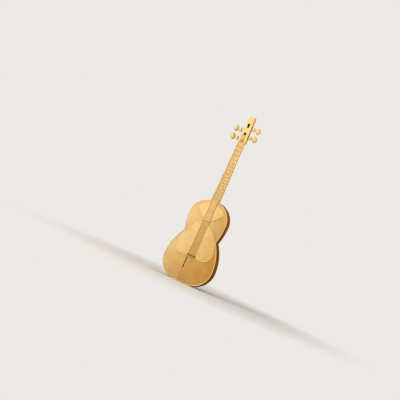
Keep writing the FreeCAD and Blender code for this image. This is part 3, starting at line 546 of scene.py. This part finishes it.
@dataclass(frozen=True)
class BareWood:
    """Planed mulberry, unfinished: warm brown with long darker lines and open pores."""

    name: str
    early: str = "#B98A55"
    late: str = "#8A5B30"
    # Growth lines in quarter-sawn mulberry stand about 3 mm apart.
    line_mm: float = 3.0
    roughness: float = 0.68

    def build(self) -> bpy.types.Material:
        """Make the node material of this wood.

        Returns:
            The new material, to be shared by every piece with this finish.
        """
        material, tree = new_material(self.name)
        place = add_node(tree, "ShaderNodeTexCoord").outputs["Object"]
        lines = add_node(tree, "ShaderNodeTexWave", {
            "Vector": place, "Scale": WAVE_LENGTH / (self.line_mm * MM), "Distortion": 6.0,
            "Detail": 3.0, "Detail Scale": 0.6,
        }, bands_direction="X").outputs["Fac"]
        stretched = add_node(tree, "ShaderNodeMapping", {
            "Vector": place, "Scale": (1 / (0.7 * MM), 1 / (0.7 * MM), 1 / (14 * MM)),
        }).outputs["Vector"]
        pores = add_node(tree, "ShaderNodeTexNoise", {
            "Vector": stretched, "Scale": 1.0, "Detail": 3.0,
        }).outputs["Fac"]
        share = add_node(tree, "ShaderNodeMath", {0: lines, 1: pores}, operation="MULTIPLY").outputs[0]
        colour = add_node(tree, "ShaderNodeMix", {
            0: share, 6: linear(self.early), 7: linear(self.late),
        }, data_type="RGBA").outputs[2]
        normal = add_node(tree, "ShaderNodeBump", {
            "Height": pores, "Distance": 0.06 * MM,
        }).outputs["Normal"]
        shader = add_node(tree, "ShaderNodeBsdfPrincipled", {
            "Base Color": colour, "Roughness": self.roughness, "IOR": 1.5, "Normal": normal,
        })
        add_node(tree, "ShaderNodeOutputMaterial", {"Surface": shader.outputs["BSDF"]})
        return material


@dataclass(frozen=True)
class DrawnMetal:
    """Drawn brass wire or rod: bright yellow metal with fine lines along its length."""

    name: str
    metal: str = "#E3B866"
    roughness: float = 0.28
    tarnish_mm: float = 12.0

    def build(self) -> bpy.types.Material:
        """Make the node material of this metal.

        Returns:
            The new material, to be shared by every piece with this finish.
        """
        material, tree = new_material(self.name)
        place = add_node(tree, "ShaderNodeTexCoord").outputs["Object"]
        tarnish = add_node(tree, "ShaderNodeTexNoise", {
            "Vector": place, "Scale": 1 / (self.tarnish_mm * MM), "Detail": 3.0,
        }).outputs["Fac"]
        tone = add_node(tree, "ShaderNodeMapRange", {
            "Value": tarnish, "To Min": 0.78, "To Max": 1.05,
        }).outputs["Result"]
        colour = add_node(tree, "ShaderNodeVectorMath", {
            0: linear(self.metal)[:3], "Scale": tone,
        }, operation="SCALE").outputs[0]
        rough = add_node(tree, "ShaderNodeMapRange", {
            "Value": tarnish, "To Min": self.roughness + 0.12, "To Max": self.roughness - 0.06,
        }).outputs["Result"]
        shader = add_node(tree, "ShaderNodeBsdfPrincipled", {
            "Base Color": colour, "Metallic": 1.0, "Roughness": rough,
        })
        add_node(tree, "ShaderNodeOutputMaterial", {"Surface": shader.outputs["BSDF"]})
        return material


class Finishes:
    """Every finish of the tar, built once and handed out by name."""

    def __init__(self) -> None:
        """Build the finishes."""
        # In each finish below the fourth colour is painted shade in corners, and a tint given for the
        # slope is a painted shade gradient.
        self.face = Gilding("gilded_face", "#E3BE78", "#EBCB8C", "#C39A58", shade_tint="#E0C49A").build()
        # The bowls' gold is painted darker and browner than the face's: painted shade on the side walls
        # and the back.
        self.bowl = Gilding(
            "gilded_bowl_painted_shade", "#966826", "#A5742D", "#54340F", shade_tint="#EEDCC0", graze="#B98A3E",
            metal=0.9, roughness=0.5, grain_long_mm=34.0, corner_mm=5.0, seam_mm=0.9,
        ).build()
        self.skin = Gilding(
            "gilded_skin", "#EBC984", "#F2D69A", "#C8A05C", shade_tint="#F6E6CA", grain_mm=2.6,
            grain_long_mm=4.0, grain_deep_mm=0.04,
        ).build()
        self.neck = Gilding("gilded_neck", "#DDB977", "#E8C88E", "#B58C4E").build()
        self.bone = Gilding(
            "gilded_bone", "#E4C687", "#EDD39B", "#B08540", roughness=0.36, grain_deep_mm=0.02,
            corner_mm=1.5,
        ).build()
        # The beads' gold is painted lighter than the face's, a painted highlight along the rims of the
        # face and the heart.
        self.bead = Gilding(
            "gilded_bead_painted_highlight", "#F6DC9C", "#FBE7B4", "#D5AC66", shade_tint="#FBF2E0", roughness=0.34,
            grain_deep_mm=0.02, corner_mm=1.0,
        ).build()
        self.peg = Gilding(
            "gilded_peg", "#FFDA8A", "#FFE6A4", "#B5853F", roughness=0.42, grain_deep_mm=0.02,
            corner_mm=4.0,
        ).build()
        # The head's corner shade is nearly black and reaches 22 mm, so the trough inside the slots gets
        # painted shade and the slots read as dark openings.
        self.head = Gilding(
            "gilded_head", "#E0BD7E", "#E9CB91", "#3F240D", roughness=0.42, grain_deep_mm=0.03,
            corner_mm=22.0,
        ).build()
        self.bridge = Gilding("toned_bridge", "#8F6A35", "#B58B4C", "#4A2D12", corner_mm=3.0).build()
        self.board = PunchedGold("punched_gold", "#DAB470", "#EACA8F", "#B08545").build()
        self.strip = PunchedGold("punched_gold_dark", "#CDA25A", "#DDB878", "#A0742F").build()
        # Dark wood for the thin lines along the strips' bass edges, a painted shadow where a recessed
        # strip's edge would cast shade.
        self.shadow_line = BareWood("shadow_line_wood", "#6B4520", "#472A10").build()
        self.wood = BareWood("bare_mulberry").build()
        self.string = DrawnMetal("string_brass").build()
        # The wound string is a darker copy of the brass, painted shade for the windings inside the
        # head's slots.
        self.wound = DrawnMetal("string_brass_painted_shade", "#6E5124", 0.42).build()
        self.pin = DrawnMetal("pin_brass", "#D9AE5E", 0.34).build()
        self.gut = Gilding(
            "gilded_gut", "#E9CB8F", "#F4DDA8", "#9A7038", roughness=0.4, grain_mm=0.8,
            grain_long_mm=0.8, grain_deep_mm=0.03, corner_mm=0.8,
        ).build()


def dress(piece: bpy.types.Object, material: bpy.types.Material) -> None:
    """Give an object one material.

    Args:
        piece: Object to dress.
        material: Its only material.
    """
    if piece.data.materials:
        for place in range(len(piece.data.materials)):
            piece.data.materials[place] = material
    else:
        piece.data.materials.append(material)


def settle(
    piece: bpy.types.Object, material: bpy.types.Material, body: Body, slot: Slot, *stands_for: str
) -> None:
    """Dress a new piece, let it ride and hide the CAD nodes that it stands for.

    Args:
        piece: The new piece.
        material: Its finish.
        body: Body it rides on.
        slot: Not used.
        stands_for: CAD nodes that it replaces.
    """
    dress(piece, material)
    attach(piece, body.value)
    if stands_for:
        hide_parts(*stands_for)
    LOG.info("made %s: %d faces", piece.name, len(piece.data.polygons))


# Sub-assemblies

@dataclass
class Resonator:
    """Double bowl with its face board, its two skins and the thin beads round them."""

    nodes: dict[str, bpy.types.Object]
    finishes: Finishes
    rim_radius_mm: float = 2.0
    rim_inset_mm: float = 1.1
    heart_radius_mm: float = 1.7
    heart_inset_mm: float = 1.0
    drop_radius_mm: float = 0.8
    drop_inset_mm: float = 0.5
    bead_step_mm: float = 3.0
    bead_sides: int = 8

    def dress_nodes(self) -> None:
        """Give the bowls, the board, the skins and the blocks their finishes."""
        for name, finish in (
            ("bowl_left_half", self.finishes.bowl), ("bowl_right_half", self.finishes.bowl),
            ("face_board", self.finishes.face),
            ("large_skin", self.finishes.skin), ("small_skin", self.finishes.skin),
            ("neck_block", self.finishes.wood), ("tail_block", self.finishes.wood),
        ):
            dress(self.nodes[name], finish)

    def make_bead(
        self, name: str, node: str, finish: bpy.types.Material, slot: Slot, radius_mm: float,
        inset_mm: float,
    ) -> None:
        """Lay a thin gilded bead just inside the edge of a node's front face.

        Args:
            name: Name of the bead.
            node: CAD node that carries it.
            finish: Its material.
            slot: Slot of the record, passed on with the bead.
            radius_mm: Radius of the bead.
            inset_mm: How far its middle lies inside the edge.
        """
        low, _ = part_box(node)
        loop = resampled(rim_loop(self.nodes[node], low.y), self.bead_step_mm * MM)
        path = inset(loop, inset_mm * MM)
        points, faces = tube(path, radius_mm * MM, self.bead_sides, closed=True)
        settle(mesh_object(name, points, faces), finish, Body.ROOT, slot)

    def build(self) -> None:
        """Dress the nodes and add the beads."""
        self.dress_nodes()
        self.make_bead(
            "face_rim_bead", "face_board", self.finishes.bead, Slot.GILDED_WOOD,
            self.rim_radius_mm, self.rim_inset_mm,
        )
        self.make_bead(
            "heart_bead", "large_skin", self.finishes.bead, Slot.GILDED_SKIN,
            self.heart_radius_mm, self.heart_inset_mm,
        )
        self.make_bead(
            "drop_bead", "small_skin", self.finishes.skin, Slot.GILDED_SKIN,
            self.drop_radius_mm, self.drop_inset_mm,
        )


@dataclass
class Neck:
    """Neck, fingerboard, bone strips and the gut frets tied round them."""

    nodes: dict[str, bpy.types.Object]
    finishes: Finishes
    strand_mm: float = 0.6
    strands: int = 4
    strand_sides: int = 6
    back_steps: int = 20
    corner_steps: int = 4
    corner_mm: float = 1.2
    # Heights of one fret's band lie closer together than this.
    band_gap_mm: float = 3.0
    knot_mm: float = 3.4
    knot_steps: int = 14
    knot_turns: float = 1.25
    # Where the knot sits round the neck, in degrees from the treble side.
    knot_angle: float = 158.0
    # Its half height and its half depth, as shares of its half length.
    knot_high: float = 0.62
    knot_deep: float = 0.5
    line_wide_mm: float = 1.5
    line_proud_mm: float = 0.15
    line_sunk_mm: float = 0.3
    # Vertices this near a strip's end belong to it.
    line_end_mm: float = 0.5

    def dress_nodes(self) -> None:
        """Give the neck's nodes their finishes."""
        for name, finish in (
            ("neck", self.finishes.neck), ("fingerboard", self.finishes.board),
            ("fingerboard_tongue", self.finishes.strip),
            ("bone_strip_left", self.finishes.bone), ("bone_strip_right", self.finishes.bone),
            ("nut", self.finishes.bone), ("bridge", self.finishes.bridge),
        ):
            dress(self.nodes[name], finish)

    def fret_places(self) -> list[tuple[float, float, float, float]]:
        """Read each fret's height and size from the solids of its node.

        Returns:
            For each fret its lowest and highest Z, its half width and its back.
        """
        work = bmesh.new()
        work.from_mesh(self.nodes["frets"].data)
        heights = sorted({round(vert.co.z, 5) for vert in work.verts})
        bands: list[list[float]] = []
        for height in heights:
            if bands and height - bands[-1][0] < self.band_gap_mm * MM:
                bands[-1].append(height)
            else:
                bands.append([height])
        places = []
        for band in bands:
            inside = [v.co for v in work.verts if band[0] - MM < v.co.z < band[-1] + MM]
            places.append((band[0], band[-1], max(p.x for p in inside), max(p.y for p in inside)))
        work.free()
        return places

    def strand_path(self, up: float, half: float, front: float, back: float) -> list[Vector]:
        """Centreline of one strand of gut round the neck.

        Args:
            up: Height of the strand.
            half: Half width of the loop.
            front: Y of its front.
            back: Y of its back.

        Returns:
            Points of the closed loop.
        """
        corner = self.corner_mm * MM
        middle = back - half
        path = []
        for side in (1, -1):
            for step in range(self.corner_steps + 1):
                share = step / self.corner_steps if side > 0 else 1 - step / self.corner_steps
                angle = math.pi / 2 * share
                path.append(Vector((
                    side * (half - corner + corner * math.cos(angle)),
                    front + corner - corner * math.sin(angle), up,
                )))
        for step in range(self.back_steps + 1):
            angle = math.pi * (1 - step / self.back_steps)
            path.append(Vector((half * math.cos(angle), middle + half * math.sin(angle), up)))
        return path

    def knot(self, up: float, half: float, back: float) -> Shape:
        """Small knot of gut at the left shoulder of the neck's back.

        Args:
            up: Height of the fret's middle.
            half: Half width of the loop.
            back: Y of its back.

        Returns:
            Points and faces of the knot.
        """
        angle = math.radians(self.knot_angle)
        outwards = Vector((math.cos(angle), math.sin(angle), 0.0))
        along = Vector((-outwards.y, outwards.x, 0.0))
        centre = Vector((0.0, back - half, up)) + outwards * half
        reach = self.knot_mm * MM / 2
        path = []
        for step in range(self.knot_steps + 1):
            share = step / self.knot_steps
            turn = math.tau * self.knot_turns * share
            path.append(
                centre + Vector((0, 0, 1)) * reach * self.knot_high * math.cos(turn)
                + outwards * reach * self.knot_deep * math.sin(turn) + along * reach * (share - 0.5)
            )
        return tube(path, self.strand_mm * MM / 2, self.strand_sides)

    def make_frets(self) -> None:
        """Tie each fret as strands of gut side by side, closed by a knot."""
        low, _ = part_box("frets")
        parts = []
        radius = self.strand_mm * MM / 2
        for bottom, top, half, back in self.fret_places():
            for strand in range(self.strands):
                up = bottom + radius + (top - bottom - 2 * radius) * strand / (self.strands - 1)
                path = self.strand_path(up, half - radius, low.y + radius, back - radius)
                parts.append(tube(path, radius, self.strand_sides, closed=True))
            parts.append(self.knot((bottom + top) / 2, half, back))
        points, faces = joined(parts)
        settle(mesh_object("gut_frets", points, faces), self.finishes.gut, Body.ROOT, Slot.GUT, "frets")

    def make_shadow_line(self, name: str, node: str) -> None:
        """Let a thin line of dark wood into the bass edge of a strip's front, a painted shadow along
        that edge.

        Args:
            name: Name of the line.
            node: CAD node of the strip.
        """
        low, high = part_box(node)
        front = [
            vert.co for vert in self.nodes[node].data.vertices
            if abs(vert.co.y - low.y) < FLAT_WITHIN
        ]
        wide = self.line_wide_mm * MM
        inside, outside = low.y + self.line_sunk_mm * MM, low.y - self.line_proud_mm * MM
        points = []
        for up in (low.z, high.z):
            edge = min(co.x for co in front if abs(co.z - up) < self.line_end_mm * MM)
            points += [
                Vector((edge, inside, up)), Vector((edge, outside, up)),
                Vector((edge + wide, outside, up)), Vector((edge + wide, inside, up)),
            ]
        faces = [(0, 1, 2, 3), (7, 6, 5, 4)]
        faces += [(side, (side + 1) % 4, (side + 1) % 4 + 4, side + 4) for side in range(4)]
        piece = mesh_object(name, points, faces, smooth=False)
        settle(piece, self.finishes.shadow_line, Body.ROOT, Slot.FINGERBOARD)

    def build(self) -> None:
        """Dress the nodes, tie the frets and lay the painted shadow lines of dark wood."""
        self.dress_nodes()
        self.make_frets()
        self.make_shadow_line("finger_shadow_line_bass", "fingerboard")
        self.make_shadow_line("tongue_shadow_line_bass", "fingerboard_tongue")


@dataclass
class Head:
    """Head with its slotted front, the four pegs and the string wound on each."""

    nodes: dict[str, bpy.types.Object]
    finishes: Finishes
    wire_mm: float = 0.5
    wire_sides: int = 6
    steps_a_turn: int = 20
    turn_gap_mm: float = 0.04

    def winding_path(self, node: str) -> list[Vector]:
        """Helix of the string wound on a peg, inside the sleeve that its node fills.

        Args:
            node: CAD node of the winding.

        Returns:
            Points of the helix.
        """
        low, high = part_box(node)
        wire = self.wire_mm * MM
        middle_y, middle_z = (low.y + high.y) / 2, (low.z + high.z) / 2
        radius = (high.y - low.y) / 2 - wire / 2
        turns = int((high.x - low.x - wire) / (wire + self.turn_gap_mm * MM))
        steps = turns * self.steps_a_turn
        path = []
        for step in range(steps + 1):
            angle = math.tau * step / self.steps_a_turn
            path.append(Vector((
                low.x + wire / 2 + (high.x - low.x - wire) * step / steps,
                middle_y + radius * math.cos(angle), middle_z + radius * math.sin(angle),
            )))
        return path

    def build(self) -> None:
        """Dress the head and wind the strings on the pegs."""
        dress(self.nodes["pegbox"], self.finishes.head)
        dress(self.nodes["pegbox_face"], self.finishes.head)
        for number, body in enumerate(PEG_BODIES, start=1):
            dress(self.nodes[f"peg_{number}"], self.finishes.peg)
            node = f"peg_{number}_winding"
            points, faces = tube(self.winding_path(node), self.wire_mm * MM / 2, self.wire_sides)
            piece = mesh_object(f"wound_string_{number}", points, faces)
            settle(piece, self.finishes.wound, body, Slot.STRING_BRASS, node)


@dataclass
class Strings:
    """Four strings, the tailpiece, its pins and the loops that hook on them."""

    nodes: dict[str, bpy.types.Object]
    finishes: Finishes
    wire_mm: float = 0.5
    loop_steps: int = 18
    twist_turns: int = 5
    twist_steps: int = 10
    twist_long_mm: float = 9.0
    # Distance of the twist's middle from the string's, in wire widths.
    twist_out: float = 0.95
    wire_sides: int = 6

    def loop_parts(self, number: int) -> list[Shape]:
        """Loop of one string round its pin, with the twisted end above it.

        Args:
            number: Number of the string.

        Returns:
            Points and faces of the loop and of the twist.
        """
        low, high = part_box(f"string_{number}")
        pins_low, pins_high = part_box("tail_pins")
        pin_radius = (pins_high.z - pins_low.z) / 2
        wire = self.wire_mm * MM
        across = low.x + wire / 2 if high.x < 0 else high.x - wire / 2
        out = low_front(self.nodes[f"string_{number}"], low.z)
        centre = Vector((across, out, (pins_low.z + pins_high.z) / 2))
        reach = pin_radius + wire / 2
        ring = [
            centre + Vector((reach * math.cos(a), 0.0, reach * math.sin(a)))
            for a in (math.tau * step / self.loop_steps for step in range(self.loop_steps))
        ]
        parts = [tube(ring, wire / 2, self.wire_sides, closed=True)]
        top = string_point(self.nodes[f"string_{number}"], low.z + self.twist_long_mm * MM, across)
        start = Vector((across, out, low.z))
        axis = top - start
        side = axis.cross(Vector((1, 0, 0))).normalized()
        other = axis.cross(side).normalized()
        steps = self.twist_turns * self.twist_steps
        coil = []
        for step in range(steps + 1):
            turn = math.tau * self.twist_turns * step / steps
            outwards = side * math.cos(turn) + other * math.sin(turn)
            coil.append(start + axis * (step / steps) + outwards * wire * self.twist_out)
        parts.append(tube(coil, wire / 2, self.wire_sides))
        return parts

    def build(self) -> None:
        """Dress the strings and the tailpiece, and hook the strings on their pins."""
        for number in range(1, 5):
            dress(self.nodes[f"string_{number}"], self.finishes.string)
        dress(self.nodes["tailpiece"], self.finishes.bone)
        dress(self.nodes["tail_pins"], self.finishes.pin)
        for number in range(1, 5):
            points, faces = joined(self.loop_parts(number))
            piece = mesh_object(f"string_loop_{number}", points, faces)
            settle(piece, self.finishes.string, Body.ROOT, Slot.STRING_BRASS)


def low_front(node: bpy.types.Object, up: float) -> float:
    """Middle Y of a string at its lower end.

    Args:
        node: CAD node of the string.
        up: Height of that end.

    Returns:
        Mean Y of the vertices there.
    """
    found = [vert.co.y for vert in node.data.vertices if vert.co.z < up + MM]
    return sum(found) / len(found)


def string_point(node: bpy.types.Object, up: float, across: float) -> Vector:
    """Point on the string's last stretch at a height.

    Args:
        node: CAD node of the string.
        up: Wanted height.
        across: X of the stretch.

    Returns:
        The point on its centreline.
    """
    low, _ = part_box(node.name)
    foot = low_front(node, low.z)
    crest = min(vert.co.y for vert in node.data.vertices)
    crest_up = max(vert.co.z for vert in node.data.vertices if vert.co.y < crest + CREST_WITHIN)
    share = (up - low.z) / (crest_up - low.z)
    return Vector((across, foot + (crest - foot) * share, up))


@dataclass(frozen=True)
class SoftLamp:
    """Square soft light: where it hangs in metres, its side, its power in watts and its tint."""

    name: str
    spot: tuple[float, float, float]
    side: float
    watts: float
    tint: str


@dataclass
class Studio:
    """Pale floor, soft lights and the camera at the photograph's viewing angle."""

    lamps: tuple[SoftLamp, ...] = (
        SoftLamp("key_light", (-1.2, -1.5, 1.2), 0.9, 19.5, "#FFF4E6"),
        SoftLamp("fill_light", (1.8, -2.2, 0.9), 2.0, 6.0, "#F6F8FF"),
    )
    lamp_aim: tuple[float, float, float] = (0.0, 0.0, 0.45)
    sky: str = "#FBF7F0"
    sky_strength: float = 0.72
    backdrop: str = "#ECEAE6"
    floor_paint: str = "#E4E3E2"
    floor_half: float = 30.0
    fade_start: float = 0.35
    fade_end: float = 1.1
    # Photograph: 5 mm of the object to a pixel, seen from its right at the height of its waist.
    frame_wide: float = 2.0
    distance: float = 7.0
    azimuth: float = 17.0
    elevation: float = -0.5
    roll: float = 23.9
    aim_across: float = -0.0725
    aim_front: float = -0.044
    aim_up: float = 0.414
    sensor_mm: float = 36.0
    clip_end: float = 200.0

    def looked_at(self, tree: bpy.types.NodeTree) -> bpy.types.NodeSocket:
        """Tell rays that look at the backdrop from rays that carry light.

        Args:
            tree: Node tree that needs the answer.

        Returns:
            Output that is 1 for camera, transmission and glossy rays.
        """
        ray = add_node(tree, "ShaderNodeLightPath").outputs
        through = add_node(tree, "ShaderNodeMath", {
            0: ray["Is Camera Ray"], 1: ray["Is Transmission Ray"],
        }, operation="MAXIMUM").outputs[0]
        return add_node(tree, "ShaderNodeMath", {
            0: through, 1: ray["Is Glossy Ray"],
        }, operation="MAXIMUM").outputs[0]

    def make_floor(self) -> None:
        """Lay a large pale floor whose far part melts into the backdrop."""
        spots = [
            Vector((across * self.floor_half, deep * self.floor_half, 0.0))
            for across, deep in ((-1, -1), (1, -1), (1, 1), (-1, 1))
        ]
        floor = mesh_object("floor", spots, [(0, 1, 2, 3)], smooth=False)
        material, tree = new_material("pale_floor")
        place = add_node(tree, "ShaderNodeTexCoord").outputs["Object"]
        away = add_node(tree, "ShaderNodeVectorMath", {
            0: place,
        }, operation="LENGTH").outputs["Value"]
        fade = add_node(tree, "ShaderNodeMapRange", {
            "Value": away, "From Min": self.fade_start, "From Max": self.fade_end,
        }, interpolation_type="SMOOTHSTEP").outputs["Result"]
        share = add_node(tree, "ShaderNodeMath", {
            0: fade, 1: self.looked_at(tree),
        }, operation="MULTIPLY").outputs[0]
        paint = add_node(tree, "ShaderNodeBsdfDiffuse", {
            "Color": linear(self.floor_paint),
        }).outputs["BSDF"]
        glow = add_node(tree, "ShaderNodeEmission", {
            "Color": linear(self.backdrop), "Strength": 1.0,
        }).outputs["Emission"]
        both = add_node(tree, "ShaderNodeMixShader", {0: share, 1: paint, 2: glow}).outputs[0]
        add_node(tree, "ShaderNodeOutputMaterial", {"Surface": both})
        dress(floor, material)

    def make_world(self) -> None:
        """Light the scene evenly, with the backdrop's colour where the camera looks."""
        world = bpy.data.worlds.new("studio")
        world.use_nodes = True
        tree = world.node_tree
        tree.nodes.clear()
        soft = add_node(tree, "ShaderNodeBackground", {
            "Color": linear(self.sky), "Strength": self.sky_strength,
        }).outputs["Background"]
        wall = add_node(tree, "ShaderNodeBackground", {
            "Color": linear(self.backdrop), "Strength": 1.0,
        }).outputs["Background"]
        both = add_node(tree, "ShaderNodeMixShader", {
            0: self.looked_at(tree), 1: soft, 2: wall,
        }).outputs[0]
        add_node(tree, "ShaderNodeOutputWorld", {"Surface": both})
        bpy.context.scene.world = world

    def hang(self, lamp: SoftLamp) -> None:
        """Hang a square soft light that points at the body.

        Args:
            lamp: What light it is.
        """
        light = bpy.data.lights.new(lamp.name, "AREA")
        light.size = lamp.side
        light.energy = lamp.watts
        light.color = linear(lamp.tint)[:3]
        hung = bpy.data.objects.new(lamp.name, light)
        hung.location = lamp.spot
        aim = Vector(self.lamp_aim) - Vector(lamp.spot)
        hung.rotation_euler = aim.to_track_quat("-Z", "Y").to_euler()
        bpy.context.scene.collection.objects.link(hung)

    def make_camera(self) -> None:
        """Place the camera so that the tar lies in the frame as it does in the photograph."""
        turn, tilt = math.radians(self.azimuth), math.radians(self.elevation)
        level = math.cos(tilt)
        back = Vector((math.sin(turn) * level, -math.cos(turn) * level, math.sin(tilt)))
        right = Vector((math.cos(turn), math.sin(turn), 0.0))
        aim = Vector((0.0, self.aim_front, self.aim_up)) + right * self.aim_across
        up = back.cross(right)
        upright = Matrix((right, up, back)).transposed().to_4x4()
        rolled = upright @ Matrix.Rotation(math.radians(self.roll), 4, "Z")
        lens = bpy.data.cameras.new("camera")
        lens.sensor_width = self.sensor_mm
        lens.lens = self.sensor_mm * self.distance / self.frame_wide
        lens.clip_end = self.clip_end
        camera = bpy.data.objects.new("camera", lens)
        camera.matrix_world = Matrix.Translation(aim + back * self.distance) @ rolled
        bpy.context.scene.collection.objects.link(camera)
        bpy.context.scene.camera = camera

    def build(self) -> None:
        """Set up the whole studio."""
        self.make_floor()
        self.make_world()
        for lamp in self.lamps:
            self.hang(lamp)
        self.make_camera()
        bpy.context.scene.view_settings.view_transform = "Standard"


def main() -> None:
    """Load the frame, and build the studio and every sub-assembly."""
    logging.basicConfig(level=logging.INFO, format="%(message)s")
    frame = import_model()
    nodes = frame["nodes"]
    finishes = Finishes()
    Studio().build()
    for kind in (Resonator, Neck, Head, Strings):
        kind(nodes, finishes).build()
        LOG.info("built %s", kind.__name__)


if __name__ == "__main__":
    main()
